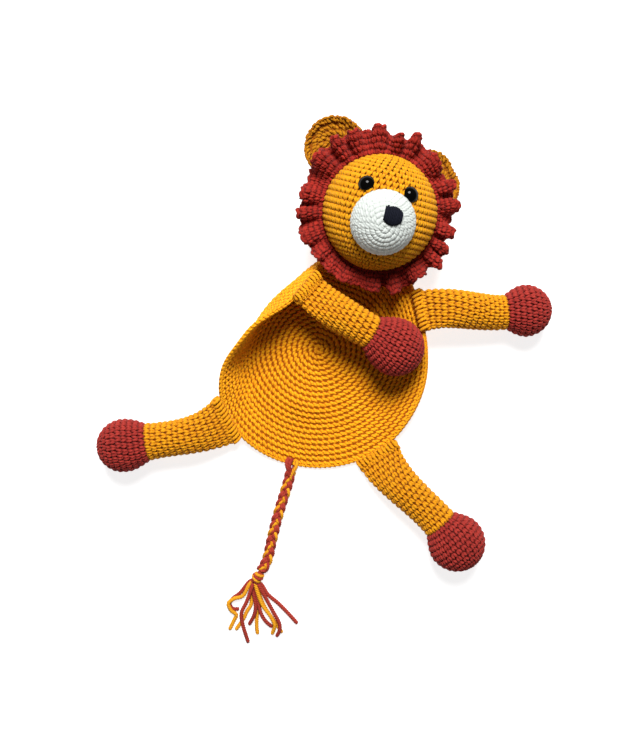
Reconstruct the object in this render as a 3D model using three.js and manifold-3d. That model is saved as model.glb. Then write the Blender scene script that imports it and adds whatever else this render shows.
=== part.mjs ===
// Crocheted lion comforter: a small round blanket lying in a shallow dish, with a stuffed head,
// a gathered mane, four stuffed limbs sewn to the blanket's edge and a braided tail.
// Millimetres, +Z up, lying on its back. The origin is the blanket's centre, on its flat underside,
// and +Y points at the head. Left and right are the lion's own.
import * as THREE from "three";
import { mergeVertices } from "three/addons/utils/BufferGeometryUtils.js";
import Module from "manifold-3d";

const wasm = await Module();
wasm.setup();

// Driving dimensions
const GAP = 0.3; // between pieces that touch
const SEAM_GAP = 3.2; // between a limb and the blanket, filled by the seam's yarn
const WALL = 2.4; // crocheted cover of the head, muzzle and limbs
const LOOSE = 1.2; // between a cover and its stuffing
const YARN_RADIUS = 0.8;
const BLANKET_RADIUS = 95;
const BLANKET_THICKNESS = 3.6;
const BEND_RADIUS = 18; // of the bend between the dish's flat floor and its wall

// The dish, around the blanket: how far the wall turns up, how far out the floor is flat,
// and the arc length from the centre to the edge, which is gathered in where the head is sewn on.
const DISH = [
  { angle: 0, turn: 43, flat: 61.5, reach: 95 },
  { angle: 18, turn: 50, flat: 57, reach: 95 },
  { angle: 38, turn: 50, flat: 56, reach: 95 },
  { angle: 60, turn: 30, flat: 64, reach: 94 },
  { angle: 84, turn: 4, flat: 64, reach: 87.6 },
  { angle: 97, turn: 36, flat: 58, reach: 89 },
  { angle: 109, turn: 118, flat: 50, reach: 95 },
  { angle: 123, turn: 118, flat: 41, reach: 95 },
  { angle: 138, turn: 118, flat: 36.6, reach: 95 },
  { angle: 160, turn: 107, flat: 35, reach: 95 },
  { angle: 181, turn: 92, flat: 37, reach: 95 },
  { angle: 196, turn: 82, flat: 41.5, reach: 95 },
  { angle: 210, turn: 65, flat: 50, reach: 95 },
  { angle: 221, turn: 50, flat: 55, reach: 95 },
  { angle: 238, turn: 31, flat: 66, reach: 95 },
  { angle: 268, turn: 3, flat: 74, reach: 95 },
  { angle: 300, turn: 4, flat: 74, reach: 95 },
  { angle: 318, turn: 13, flat: 68, reach: 95 },
  { angle: 340, turn: 32, flat: 64, reach: 95 },
];

// The head's centre, and its own right, up and forward directions: chin down, turned a little left.
const HEAD_RADIUS = 42.6;
const HEAD_CENTRE = new THREE.Vector3(12.2, 110.7, 43.5);
const HEAD_FORWARD = new THREE.Vector3(0.057, -0.181, 0.982).normalize();
const HEAD_RIGHT = new THREE.Vector3(0.997, 0.063, -0.047)
  .projectOnPlane(HEAD_FORWARD)
  .normalize();
const HEAD_UP = new THREE.Vector3().crossVectors(HEAD_FORWARD, HEAD_RIGHT);
const NECK_AXIS = new THREE.Vector3(0, 0.446, 0.895).normalize(); // from the blanket into the head
const NECK_RADIUS = 15;

// The four limbs. A limb starts at the blanket's edge at the angle edge, folded over that edge by
// fold, and its seam runs that many degrees, stitched, to either side. Its colour changes at the
// wrist, and the paw runs from there to the tip.
const LIMBS = {
  left_arm: {
    edge: 38,
    stitched: 7,
    fold: -28,
    seamRadius: 15.7,
    fullness: 0,
    wristRadius: 13.1,
    pawRadius: 19.8,
    wrist: [129.2, 71.7, 20.6],
    tip: [161.6, 85.1, 21],
  },
  right_arm: {
    edge: 121,
    stitched: 5.5,
    fold: 79,
    seamRadius: 14.9,
    fullness: 0,
    wristRadius: 12.8,
    pawRadius: 21.8,
    wrist: [33.9, 23.6, 39],
    tip: [76, 14.6, 30.5],
  },
  left_leg: {
    edge: 317,
    stitched: 11,
    fold: 12,
    seamRadius: 18.4,
    fullness: -1.9,
    wristRadius: 13.6,
    pawRadius: 22,
    wrist: [131.9, -100.2, 20.6],
    tip: [166.4, -120.9, 24],
  },
  right_leg: {
    edge: 236,
    stitched: 11,
    fold: -12,
    seamRadius: 20,
    fullness: -3,
    wristRadius: 14.3,
    pawRadius: 20.3,
    wrist: [-104.1, -110, 19.6],
    tip: [-138.8, -127.2, 21.4],
  },
};
const SEAM_HALF_THICKNESS = 3; // of a limb's flattened end
const FLATTENED_LENGTH = 38; // over which a limb goes from flat to round

// The tail
const BRAID_RADIUS = 3.2;
const TASSEL_RADIUS = 1.1;
const ANCHOR_ROUTE = [
  [5.6, -99.4, 5.2],
  [3.6, -96.4, 6.4],
  [4, -91, 6.4],
  [9, -91.8, 6.4],
  [14, -91, 6.4],
  [14.4, -96.4, 6.4],
  [12.4, -99.4, 5.2],
];
const BRAID_ROUTE = [
  [9, -99.4, 3.3],
  [9.6, -107, 3.3],
  [9.8, -115.4, 3.3],
  [9.9, -127, 3.3],
  [10.2, -138.6, 3.3],
  [11, -150, 3.3],
  [11.8, -159.4, 3.3],
  [12.7, -167.5, 3.4],
  [12.6, -175.3, 4],
  [11, -182, 5],
];
// Each loose yarn of the tassel, from the knot outwards: its colour, then its route.
const TASSEL = [
  ["yellow", [5.6, -195, 3.6], [3.4, -205.2, 3.7], [-2.8, -210, 3.7], [-5.7, -214.8, 3.7],
    [-2.3, -219.3, 3.4], [3, -221.8, 2.4], [2.6, -227, 1.3], [1.5, -235.2, 1.2]],
  ["red", [4.6, -194, 1.2], [0.6, -204.4, 1.2], [-3.5, -210.3, 1.2], [-4.7, -215.4, 1.2], [-1, -218.4, 1.2],
    [3.7, -217, 1.2]],
  ["red", [8, -195.6, 6], [7.7, -208, 5.4], [6.5, -218.3, 4.9], [10.2, -227, 3.6], [19, -240.3, 1.2]],
  ["yellow", [6.7, -195.2, 1.2], [9.8, -204, 1.2], [11.7, -210.4, 1.2], [10.2, -217.4, 1.2],
    [9.4, -223.7, 1.2], [6.3, -233.7, 1.2]],
  ["yellow", [9.3, -196, 1.2], [14, -203.6, 1.2], [17.4, -210.4, 1.2], [19, -217.9, 1.2],
    [21.4, -226, 1.2], [24, -231.5, 1.2]],
  ["red", [8.2, -196.2, 3.6], [12, -203, 3.7], [15.4, -209.8, 3.7], [16.6, -217.2, 3.6],
    [15.2, -226.5, 1.2]],
  ["yellow", [11.8, -195.4, 1.2], [17.6, -203.6, 1.2], [24.6, -211, 1.2], [36, -219.5, 1.2],
    [42.2, -224.5, 1.2]],
  ["red", [10.7, -196.2, 3.6], [14.6, -202.6, 3.7], [18.4, -209.6, 3.8], [21.6, -214.6, 3.8],
    [27, -219.3, 3], [33.3, -222.5, 1.2]],
  ["yellow", [11.2, -195, 5.9], [19.6, -206.4, 5.4], [29.5, -214, 4.6], [34.6, -220.2, 4], [35, -228, 1.2]],
  ["red", [13.4, -193.6, 5.6], [20.4, -200.4, 5.2], [29.8, -209.4, 4.8], [37.4, -216.8, 4.4],
    [39.6, -222.6, 3.8], [39, -228.6, 1.2]],
  ["red", [14.6, -192.4, 3.2], [22, -198.6, 2.2], [32.1, -203.1, 1.2], [42.7, -208.6, 1.2],
    [51.5, -213.7, 1.2]],
];

const FINISHES = {
  yellow: { color: 0xe9a013, roughness: 0.85, metalness: 0 },
  red: { color: 0xab3a2f, roughness: 0.85, metalness: 0 },
  mane: { color: 0x9c2a22, roughness: 0.85, metalness: 0 },
  white: { color: 0xe6eae4, roughness: 0.85, metalness: 0 },
  navy: { color: 0x12141f, roughness: 0.7, metalness: 0 },
  eye: { color: 0x050505, roughness: 0.08, metalness: 0 },
  washer: { color: 0xe8e8e4, roughness: 0.5, metalness: 0 },
  stuffing: { color: 0xf2f0ea, roughness: 1, metalness: 0 },
};

const part = new THREE.Group();
const { clamp, degToRad, lerp, smoothstep } = THREE.MathUtils;
const point = (coordinates) => new THREE.Vector3(...coordinates);

function addPiece(name, geometry, finish) {
  const mesh = new THREE.Mesh(geometry, new THREE.MeshStandardMaterial(FINISHES[finish]));
  mesh.name = name;
  part.add(mesh);
}

// A lathed solid from [radius, height] points, each then moved by place(radius, angle, height).
function lathe(profile, segments, place) {
  const outline = profile.map(([radius, height]) => new THREE.Vector2(radius, height));
  const geometry = new THREE.LatheGeometry(outline, segments);
  const position = geometry.getAttribute("position");
  const moved = new THREE.Vector3();
  for (let i = 0; i < position.count; i++) {
    const [x, y, z] = [position.getX(i), position.getY(i), position.getZ(i)];
    moved.copy(place(Math.hypot(x, z), Math.atan2(x, z), y));
    position.setXYZ(i, moved.x, moved.y, moved.z);
  }
  geometry.computeVertexNormals();
  return geometry;
}

// Places lathed points about a straight axis from origin.
function alongAxis(origin, axis, sideways = new THREE.Vector3(1, 0, 0)) {
  const across = sideways.clone().projectOnPlane(axis).normalize();
  const third = new THREE.Vector3().crossVectors(axis, across);
  return (radius, angle, height) =>
    origin
      .clone()
      .addScaledVector(across, radius * Math.cos(angle))
      .addScaledVector(third, radius * Math.sin(angle))
      .addScaledVector(axis, height);
}

// A tube along a route of points.
function tube(route, radius, steps, sides = 8) {
  const section = new THREE.Shape();
  for (let i = 0; i < sides; i++) {
    const angle = (2 * Math.PI * i) / sides;
    const corner = [radius * Math.cos(angle), radius * Math.sin(angle)];
    if (i === 0) section.moveTo(...corner);
    else section.lineTo(...corner);
  }
  const extrudePath = new THREE.CatmullRomCurve3(route);
  return new THREE.ExtrudeGeometry(section, { steps, extrudePath, bevelEnabled: false });
}

function toSolid(geometry) {
  const bare = geometry.clone();
  bare.deleteAttribute("normal");
  bare.deleteAttribute("uv");
  const merged = mergeVertices(bare, 1e-4);
  const vertProperties = merged.getAttribute("position").array;
  const triVerts = new Uint32Array(merged.index.array);
  return new wasm.Manifold(new wasm.Mesh({ numProp: 3, vertProperties, triVerts }));
}

// The first geometry with all the others cut out of it.
function cut(geometry, tools) {
  const solid = tools.reduce((left, tool) => left.subtract(toSolid(tool)), toSolid(geometry));
  const { vertProperties, triVerts } = solid.getMesh();
  const result = new THREE.BufferGeometry();
  result.setAttribute("position", new THREE.BufferAttribute(vertProperties, 3));
  result.setIndex(new THREE.BufferAttribute(triVerts, 1));
  result.computeVertexNormals();
  return result;
}

// Points on a circle's arc about the axis, from one angle to another (0 is outwards, 90 along the axis).
function arc(radius, from, to, steps, height = 0) {
  return Array.from({ length: steps + 1 }, (_, i) => {
    const angle = degToRad(lerp(from, to, i / steps));
    return [Math.max(radius * Math.cos(angle), 0), height + radius * Math.sin(angle)];
  });
}

// ---- Blanket ----

function dishRow(index) {
  const turns = Math.floor(index / DISH.length);
  const row = DISH[index - turns * DISH.length];
  return { ...row, angle: row.angle + 360 * turns };
}

// The dish's shape in one direction, on a smooth closed curve through the rows of DISH.
function dishAt(angle) {
  const degrees = THREE.MathUtils.euclideanModulo(THREE.MathUtils.radToDeg(angle), 360);
  const start = DISH.findLastIndex((row) => row.angle <= degrees);
  const [a, b, c, d] = [-1, 0, 1, 2].map((step) => dishRow(start + step));
  const span = c.angle - b.angle;
  const t = (degrees - b.angle) / span;
  const value = (key) => {
    const slopeIn = ((c[key] - a[key]) / (c.angle - a.angle)) * span;
    const slopeOut = ((d[key] - b[key]) / (d.angle - b.angle)) * span;
    const rise = c[key] - b[key];
    const bend = t * (1 - t);
    const eased = b[key] + rise * t * t * (3 - 2 * t);
    return eased + bend * ((1 - t) * slopeIn - t * slopeOut);
  };
  return { turn: degToRad(value("turn")), flat: value("flat"), reach: value("reach") };
}

// A point of the blanket: s is the arc length from its centre, height is above its underside.
function dishPoint(s, angle, height) {
  const { turn, flat, reach } = dishAt(angle);
  const along = (s * reach) / BLANKET_RADIUS;
  const bent = clamp((along - flat) / BEND_RADIUS, 0, turn);
  const straight = Math.max(along - flat - BEND_RADIUS * turn, 0);
  const floor = Math.min(along, flat);
  const inward = height * Math.sin(bent);
  const radius = floor + BEND_RADIUS * Math.sin(bent) + straight * Math.cos(turn) - inward;
  const rise = BEND_RADIUS * (1 - Math.cos(bent)) + straight * Math.sin(turn);
  const z = rise + height * Math.cos(bent);
  return new THREE.Vector3(radius * Math.cos(angle), radius * Math.sin(angle), z);
}

function makeBlanket() {
  const rings = [30, 42, 52, 60, 67, 74, 81, 88, BLANKET_RADIUS];
  const under = rings.map((s) => [s, 0]);
  const upper = rings.map((s) => [s, BLANKET_THICKNESS]).reverse();
  const profile = [[0, 0], ...under, ...upper, [0, BLANKET_THICKNESS]];
  addPiece("blanket", lathe(profile, 54, dishPoint), "yellow");
}

// ---- Limbs ----

// The hinge line of a limb: a point on it, its direction, and the blanket's outward and upward there.
function seamFrame(edge) {
  const angle = degToRad(edge);
  const step = degToRad(2);
  const rim = (offset, s = BLANKET_RADIUS) => dishPoint(s, angle + offset, BLANKET_THICKNESS);
  const outward = rim(0).sub(rim(0, BLANKET_RADIUS - 3)).normalize();
  const line = rim(step).sub(rim(-step)).normalize();
  const up = new THREE.Vector3().crossVectors(outward, line).normalize();
  outward.crossVectors(line, up);
  const centre = rim(0).addScaledVector(outward, SEAM_GAP / 2);
  return { centre, line, outward, up };
}

// The limb's centre line: a curve from the seam to the wrist, then straight on to the tip.
function limbPath(limb) {
  const { centre, line, outward, up } = seamFrame(limb.edge);
  const fold = degToRad(limb.fold);
  const ahead = outward.clone().multiplyScalar(Math.cos(fold));
  ahead.addScaledVector(up, Math.sin(fold));
  const above = new THREE.Vector3().crossVectors(ahead, line);
  const start = centre.clone().addScaledVector(ahead, SEAM_GAP / 2);
  start.addScaledVector(above, -BLANKET_THICKNESS / 2);
  const wrist = point(limb.wrist);
  const tip = point(limb.tip);
  const pawAhead = tip.clone().sub(wrist).normalize();
  const span = wrist.distanceTo(start);
  const leaving = start.clone().addScaledVector(ahead, span * 0.35);
  const arriving = wrist.clone().addScaledVector(pawAhead, -span * 0.35);
  const sleeve = new THREE.CubicBezierCurve3(start, leaving, arriving, wrist);
  const sleeveLength = sleeve.getLength();
  const length = sleeveLength + wrist.distanceTo(tip);
  const level = new THREE.Vector3().crossVectors(pawAhead, new THREE.Vector3(0, 0, 1)).normalize();
  if (level.dot(line) < 0) level.negate();
  return { sleeve, sleeveLength, length, line, level, wrist, pawAhead };
}

// Half the sleeve's width, v millimetres from the seam. Its fullness is greatest halfway along.
function sleeveRadius(limb, path, v) {
  const t = v / path.sleeveLength;
  return lerp(limb.seamRadius, limb.wristRadius, t) + 4 * limb.fullness * t * (1 - t);
}

// Radius of the paw's surface, or of one inset from it.
function pawRadius(limb, path, v, inset = 0) {
  const end = path.length - inset;
  const widest = path.length - limb.pawRadius;
  const [narrow, wide] = [limb.wristRadius - inset, limb.pawRadius - inset];
  if (v > widest) return wide * Math.sqrt(Math.max(1 - ((v - widest) / (end - widest)) ** 2, 0));
  const t = (v - path.sleeveLength) / (widest - path.sleeveLength);
  return lerp(narrow, wide, Math.sin((t * Math.PI) / 2));
}

// Places a lathed limb on its path, with its seam end pressed flat.
function alongLimb(limb, path) {
  return (radius, angle, v) => {
    const onSleeve = v <= path.sleeveLength;
    const centre = onSleeve
      ? path.sleeve.getPointAt(v / path.sleeveLength)
      : path.wrist.clone().addScaledVector(path.pawAhead, v - path.sleeveLength);
    const ahead = onSleeve ? path.sleeve.getTangentAt(v / path.sleeveLength) : path.pawAhead;
    const round = smoothstep(v, 0, FLATTENED_LENGTH);
    const width = path.line.clone().lerp(path.level, smoothstep(v, 0, path.sleeveLength));
    width.projectOnPlane(ahead).normalize();
    const depth = new THREE.Vector3().crossVectors(ahead, width);
    let through = radius;
    if (v < FLATTENED_LENGTH) {
      const full = sleeveRadius(limb, path, v);
      const thin = lerp(SEAM_HALF_THICKNESS, full, round);
      const inset = Math.min(full - radius, WALL + LOOSE);
      through = ((thin - inset) * radius) / (full - inset);
    }
    return centre
      .addScaledVector(width, radius * Math.cos(angle))
      .addScaledVector(depth, through * Math.sin(angle));
  };
}

function makeLimb(name, limb) {
  const path = limbPath(limb);
  const place = alongLimb(limb, path);
  const seamEnd = [0, 8, 15, 22, 30, FLATTENED_LENGTH];
  const stations = [...seamEnd, path.sleeveLength];
  const sleeveOut = stations.map((v) => [sleeveRadius(limb, path, v), v]);
  const sleeveIn = stations.map((v) => [sleeveRadius(limb, path, v) - WALL, v]).reverse();
  const sleeve = [...sleeveOut, ...sleeveIn, sleeveOut[0]];
  addPiece(`${name}_sleeve`, lathe(sleeve, 16, place), "yellow");

  const pawStart = path.sleeveLength + GAP;
  const widest = path.length - limb.pawRadius;
  const along = (inset) => {
    const reach = path.length - inset - widest;
    const rear = [0, 0.33, 0.66].map((t) => lerp(pawStart, widest, t));
    const front = [0, 25, 50, 75, 90].map((turn) => widest + reach * Math.sin(degToRad(turn)));
    return [...rear, ...front].map((v) => [pawRadius(limb, path, v, inset), v]);
  };
  const paw = [...along(WALL).reverse(), ...along(0)];
  addPiece(`${name}_paw`, lathe(paw, 16, place), "red");

  const inside = WALL + LOOSE;
  const filled = [13, 22, FLATTENED_LENGTH, path.sleeveLength - 1];
  const filling = filled.map((v) => [sleeveRadius(limb, path, v) - inside, v]);
  const stuffing = [[0, filled[0]], ...filling, ...along(inside).slice(1)];
  addPiece(`${name}_stuffing`, lathe(stuffing, 12, place), "stuffing");

  const seam = [-1, -0.5, 0, 0.5, 1].map((side) => {
    const { centre, up } = seamFrame(limb.edge + side * limb.stitched);
    return centre.addScaledVector(up, -BLANKET_THICKNESS / 2);
  });
  addPiece(`${name}_stitching`, tube(seam, YARN_RADIUS, 4), "yellow");
}

// ---- Head ----

// A direction in the head's own frame: azimuth towards its right, elevation towards its top.
function headDirection(azimuth, elevation) {
  const [a, e] = [degToRad(azimuth), degToRad(elevation)];
  return new THREE.Vector3()
    .addScaledVector(HEAD_RIGHT, Math.sin(a) * Math.cos(e))
    .addScaledVector(HEAD_UP, Math.sin(e))
    .addScaledVector(HEAD_FORWARD, Math.cos(a) * Math.cos(e));
}

const EYES = { right_eye: headDirection(-26, 24.5), left_eye: headDirection(24, 25) };
const EYE_RADIUS = 5.9;
const SHANK_RADIUS = 2;
const SHANK_LENGTH = 9;
const WASHER_RADIUS = 7;
const WASHER_HEIGHT = HEAD_RADIUS - 5.6; // of its inner face above the head's centre

function makeHead() {
  const place = alongAxis(HEAD_CENTRE, NECK_AXIS);
  const neckAngle = (radius) => THREE.MathUtils.radToDeg(-Math.acos(NECK_RADIUS / radius));
  const inner = HEAD_RADIUS - WALL;
  const shell = [
    ...arc(inner, neckAngle(inner), 90, 9).reverse(),
    ...arc(HEAD_RADIUS, neckAngle(HEAD_RADIUS), 90, 10),
  ];
  const shanks = Object.values(EYES).map((axis) => {
    const outline = [[0, 30], [SHANK_RADIUS + GAP, 30], [SHANK_RADIUS + GAP, 50], [0, 50]];
    return lathe(outline, 8, alongAxis(HEAD_CENTRE, axis));
  });
  addPiece("head_cover", cut(lathe(shell, 28, place), shanks), "yellow");

  const filled = inner - LOOSE;
  const ball = [[0, -filled * 0.93], ...arc(filled, -68, 90, 8)];
  const pockets = Object.values(EYES).map((axis) => {
    const reach = WASHER_RADIUS + GAP;
    const outline = [[0, 32], [reach, 32], [reach, 50], [0, 50]];
    return lathe(outline, 12, alongAxis(HEAD_CENTRE, axis));
  });
  addPiece("head_stuffing", cut(lathe(ball, 20, place), pockets), "stuffing");
}

function makeEye(name, axis) {
  const place = alongAxis(HEAD_CENTRE, axis);
  const base = HEAD_RADIUS + GAP;
  const dome = arc(EYE_RADIUS, 0, 90, 4).map(([r, h]) => [r, base + 0.8 + h * 0.75]);
  const shankEnd = base - SHANK_LENGTH;
  const shank = [[0, shankEnd], [SHANK_RADIUS, shankEnd], [SHANK_RADIUS, base]];
  addPiece(name, lathe([...shank, [EYE_RADIUS - 0.6, base], ...dome], 16, place), "eye");

  const hole = SHANK_RADIUS + GAP;
  const top = WASHER_HEIGHT + 1.6;
  const ring = [
    [hole, WASHER_HEIGHT],
    [WASHER_RADIUS, WASHER_HEIGHT],
    [WASHER_RADIUS, top],
    [hole, top],
    [hole, WASHER_HEIGHT],
  ];
  addPiece(`${name}_washer`, lathe(ring, 12, place), "washer");
}

const MUZZLE_AXIS = headDirection(2.6, -9);
const MUZZLE_RADIUS = 23;
const MUZZLE_TIP = 57; // from the head's centre

// The muzzle's dome, or one inset from it: half an ellipse standing on the head's ball.
function muzzleDome(inset, steps) {
  const radius = MUZZLE_RADIUS - inset;
  const base = Math.sqrt((HEAD_RADIUS + GAP) ** 2 - radius ** 2);
  const height = MUZZLE_TIP - inset - base;
  return arc(1, 0, 90, steps).map(([r, h]) => [r * radius, base + h * height]);
}

function makeMuzzle() {
  const place = alongAxis(HEAD_CENTRE, MUZZLE_AXIS);
  const shell = [...muzzleDome(WALL, 5).reverse(), ...muzzleDome(0, 6)];
  addPiece("muzzle_cover", lathe(shell, 20, place), "white");
  const ball = HEAD_RADIUS + GAP;
  const reach = Math.asin((MUZZLE_RADIUS - WALL - GAP) / ball);
  const under = arc(ball, 90, 90 - THREE.MathUtils.radToDeg(reach), 3);
  const filling = [...under.slice(0, -1), ...muzzleDome(WALL + GAP, 5)];
  addPiece("muzzle_stuffing", lathe(filling, 16, place), "stuffing");
}

// The nose is a pad of stitches on the upper part of the muzzle.
function makeNose() {
  const base = Math.sqrt((HEAD_RADIUS + GAP) ** 2 - MUZZLE_RADIUS ** 2);
  const height = MUZZLE_TIP - base;
  const centre = HEAD_CENTRE.clone().addScaledVector(MUZZLE_AXIS, base);
  const turn = degToRad(21); // from the muzzle's tip towards the nose, on the dome
  const side = headDirection(16, 78).projectOnPlane(MUZZLE_AXIS).normalize();
  const foot = centre.clone();
  foot.addScaledVector(MUZZLE_AXIS, height * Math.cos(turn));
  foot.addScaledVector(side, MUZZLE_RADIUS * Math.sin(turn));
  const normal = MUZZLE_AXIS.clone().multiplyScalar(Math.cos(turn) / height);
  normal.addScaledVector(side, Math.sin(turn) / MUZZLE_RADIUS).normalize();
  const domeRadius = 21;
  const radii = [0, 3, 6];
  const under = radii.map((r) => [r, 0.5 - (r * r) / (2 * domeRadius)]);
  const upper = [[6.4, 0.7], [5.5, 1.6], [3.2, 2.4], [0, 2.7]];
  addPiece("nose", lathe([...under, ...upper], 14, alongAxis(foot, normal)), "navy");
}

// The mane: a ring round the head's widest part, gathered into folds that open outwards.
const MANE_FOLDS = 22;
const MANE_INNER_RADIUS = HEAD_RADIUS + 0.9;
const MANE_THICKNESS = 3;
const MANE_WAVE = 3.6;
const MANE_LIFT = 7; // where it lies on the right arm and the blanket's edge
const MANE_LIFTED_AT = degToRad(243); // around the head from its right through its top

function makeMane() {
  // How far the mane reaches, around the head from its right through its top.
  const width = (angle) => 16.4 - 1.6 * Math.cos(angle) + 1.6 * Math.sin(angle);
  const place = (radius, angle, height) => {
    const out = (radius - MANE_INNER_RADIUS) / 16;
    const reach = MANE_INNER_RADIUS + out * width(angle);
    const wave = MANE_WAVE * out * Math.sin(MANE_FOLDS * angle);
    const lift = MANE_LIFT * out * Math.max(Math.cos(angle - MANE_LIFTED_AT), 0) ** 2;
    return HEAD_CENTRE.clone()
      .addScaledVector(HEAD_RIGHT, reach * Math.cos(angle))
      .addScaledVector(HEAD_UP, reach * Math.sin(angle))
      .addScaledVector(HEAD_FORWARD, height + wave + lift - 1);
  };
  const [low, high] = [-MANE_THICKNESS / 2, MANE_THICKNESS / 2];
  const radii = [0, 8, 16].map((step) => MANE_INNER_RADIUS + step);
  const under = radii.map((r) => [r, low]);
  const upper = radii.map((r) => [r, high]).reverse();
  addPiece("mane", lathe([...under, ...upper, under[0]], MANE_FOLDS * 6, place), "mane");
}

// An ear: a shallow bowl cut straight where it is sewn to the head, open to the front.
const EAR_RADIUS = 23.8;
const EAR_RISE = 16.4; // of the bowl's middle above its hinge line
const EAR_WALL = 4.6;
const EARS = {
  right_ear: { around: 139, tilt: 4, behind: 15 },
  left_ear: { around: 43, tilt: 48, behind: 15 },
};

// The ear's hinge line along the head: a point on it, and the directions out, along and forward.
function earFrame({ around, tilt, behind }) {
  const angle = degToRad(around);
  const outward = HEAD_RIGHT.clone().multiplyScalar(Math.cos(angle));
  outward.addScaledVector(HEAD_UP, Math.sin(angle));
  const line = new THREE.Vector3().crossVectors(HEAD_FORWARD, outward);
  const centre = HEAD_CENTRE.clone().addScaledVector(HEAD_FORWARD, -behind);
  centre.addScaledVector(outward, Math.sqrt(HEAD_RADIUS ** 2 - (behind - 5) ** 2) + 1.2);
  const lean = degToRad(tilt);
  const rise = outward.clone().multiplyScalar(Math.cos(lean));
  rise.addScaledVector(HEAD_FORWARD, -Math.sin(lean));
  const front = new THREE.Vector3().crossVectors(rise, line);
  return { centre, line, rise, front };
}

function makeEar(name, ear) {
  const { centre, line, rise, front } = earFrame(ear);
  const middle = centre.clone().addScaledVector(rise, EAR_RISE);
  const depth = 7;
  const bowl = (radius, height) => arc(1, -90, 0, 5).map(([r, h]) => [r * radius, h * height]);
  const outside = bowl(EAR_RADIUS, depth);
  const inside = bowl(EAR_RADIUS - EAR_WALL, depth - 3).reverse();
  const place = alongAxis(middle, front, line);
  const foot = new THREE.BoxGeometry(60, 60, 60);
  foot.applyMatrix4(new THREE.Matrix4().makeBasis(line, rise, new THREE.Vector3().crossVectors(line, rise)));
  foot.translate(...centre.clone().addScaledVector(rise, -30).toArray());
  addPiece(name, cut(lathe([...outside, ...inside], 22, place), [foot]), "yellow");
}

// The yarn that holds the head to the blanket's edge, along the line that the head nods about.
const NOD_CENTRE = new THREE.Vector3(11.5, 90.6, 4);

function makeNeckStitching() {
  const route = [-1, 0, 1].map((side) => NOD_CENTRE.clone().add(point([side * 13, 0, 0])));
  addPiece("neck_stitching", tube(route, YARN_RADIUS, 2), "yellow");
}

// ---- Tail ----

function makeTail() {
  addPiece("tail_anchor", tube(ANCHOR_ROUTE.map(point), TASSEL_RADIUS, 12), "red");
  addPiece("tail_braid", tube(BRAID_ROUTE.map(point), BRAID_RADIUS, 14), "red");
  const axis = new THREE.Vector3(-0.35, -0.93, -0.1).normalize();
  const knot = [[0, -4.4], [3.6, -4], [5, -1.6], [5, 1.6], [3.8, 4], [0, 4.4]];
  const centre = new THREE.Vector3(9.6, -187.6, 5.2);
  addPiece("tail_knot", lathe(knot, 12, alongAxis(centre, axis)), "yellow");
  TASSEL.forEach(([yarn, ...route], i) => {
    const name = `tassel_yarn_${String(i + 1).padStart(2, "0")}`;
    addPiece(name, tube(route.map(point), TASSEL_RADIUS, 8), yarn);
  });
}

makeBlanket();
for (const [name, limb] of Object.entries(LIMBS)) makeLimb(name, limb);
makeHead();
for (const [name, axis] of Object.entries(EYES)) makeEye(name, axis);
makeMuzzle();
makeNose();
makeMane();
for (const [name, ear] of Object.entries(EARS)) makeEar(name, ear);
makeNeckStitching();
makeTail();

export default part;
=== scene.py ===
# Crocheted lion comforter, lying on its back. Every stitch is made of yarn loops, laid on the shapes
# that the frame's solids have. Lengths are millimetres until a mesh is made.
import math

import bpy
import numpy as np
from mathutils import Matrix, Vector


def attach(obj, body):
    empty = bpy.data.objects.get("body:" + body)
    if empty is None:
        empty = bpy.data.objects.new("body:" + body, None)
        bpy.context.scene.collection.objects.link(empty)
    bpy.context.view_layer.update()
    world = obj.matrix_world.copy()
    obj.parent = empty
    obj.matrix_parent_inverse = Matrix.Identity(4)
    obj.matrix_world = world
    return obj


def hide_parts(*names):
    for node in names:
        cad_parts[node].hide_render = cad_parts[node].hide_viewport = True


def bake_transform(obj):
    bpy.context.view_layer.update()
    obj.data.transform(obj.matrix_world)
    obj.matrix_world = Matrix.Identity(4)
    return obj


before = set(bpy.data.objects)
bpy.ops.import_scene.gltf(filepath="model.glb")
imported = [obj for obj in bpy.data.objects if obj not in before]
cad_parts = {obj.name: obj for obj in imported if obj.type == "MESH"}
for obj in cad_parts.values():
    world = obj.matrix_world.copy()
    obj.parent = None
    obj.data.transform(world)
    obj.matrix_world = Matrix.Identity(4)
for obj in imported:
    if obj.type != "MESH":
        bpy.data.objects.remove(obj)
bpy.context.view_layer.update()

MM = 0.001
TURN = 2 * math.pi
rng = np.random.default_rng(7)

# ---- Driving dimensions, the same as the frame's ----

BLANKET_RADIUS = 95.0
BLANKET_THICKNESS = 3.6
BEND_RADIUS = 18.0
# The dish around the blanket: angle, how far the wall turns up, flat radius, arc length to the edge.
DISH = np.array([
    (0, 43, 61.5, 95), (18, 50, 57, 95), (38, 50, 56, 95), (60, 30, 64, 94), (84, 4, 64, 87.6),
    (97, 36, 58, 89), (109, 118, 50, 95), (123, 118, 41, 95), (138, 118, 36.6, 95),
    (160, 107, 35, 95), (181, 92, 37, 95), (196, 82, 41.5, 95), (210, 65, 50, 95),
    (221, 50, 55, 95), (238, 31, 66, 95), (268, 3, 74, 95), (300, 4, 74, 95), (318, 13, 68, 95),
    (340, 32, 64, 95),
], float)

HEAD_RADIUS = 42.6
HEAD_CENTRE = np.array((12.2, 110.7, 43.5))


def unit(v):
    v = np.asarray(v, float)
    return v / np.maximum(np.linalg.norm(v, axis=-1, keepdims=True), 1e-12)


def square_to(v, axis):
    """v with its part along axis taken off, as a direction."""
    return unit(v - np.sum(v * axis, axis=-1, keepdims=True) * axis)


HEAD_FORWARD = unit((0.057, -0.181, 0.982))
HEAD_RIGHT = square_to(np.array((0.997, 0.063, -0.047)), HEAD_FORWARD)
HEAD_UP = np.cross(HEAD_FORWARD, HEAD_RIGHT)

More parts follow.
